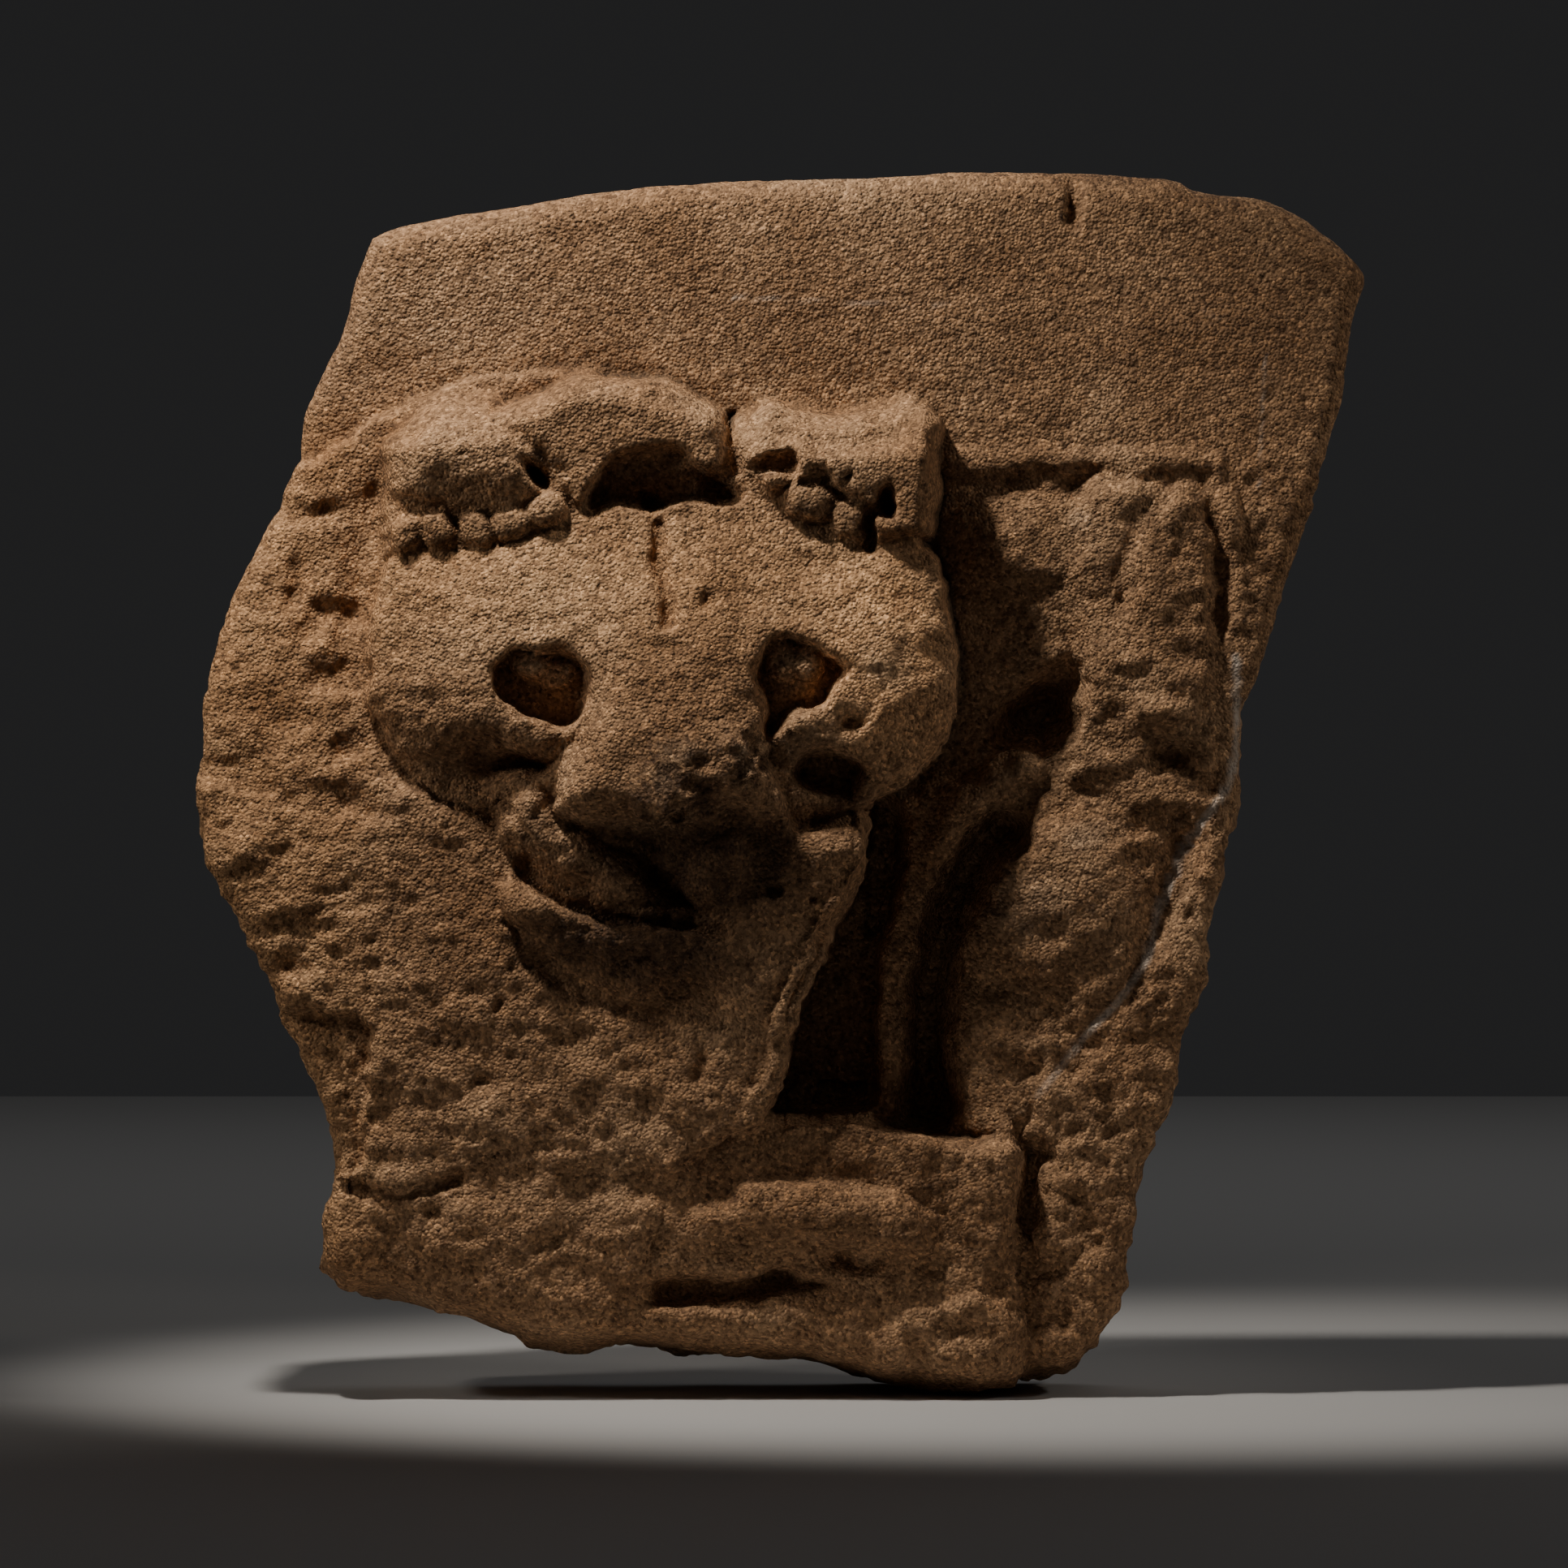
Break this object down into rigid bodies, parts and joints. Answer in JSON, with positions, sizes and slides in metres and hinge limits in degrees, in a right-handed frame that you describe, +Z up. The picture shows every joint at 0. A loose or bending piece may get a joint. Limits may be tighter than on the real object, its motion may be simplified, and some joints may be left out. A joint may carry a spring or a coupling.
{
  "type": "stone relief panel",
  "caption": "Thick broken stone slab carved in relief with a frontal animal head under its raised paws and a worn seated figure beside it, flat at the back.",
  "frame": {"origin": "centre of the flat back face, where the panel meets the wall or stand that carries it", "axes": "+Z up on the panel, +X to the right as seen from the carved front, +Y out of the flat back, so the carving faces -Y"},
  "size_m": [0.4596, 0.1293, 0.4835],
  "materials": {
    "stone": "weathered granular brown sandstone, matt"
  },
  "bodies": {
    "root": {"relief_panel": "stone"}
  },
  "joints": []
}
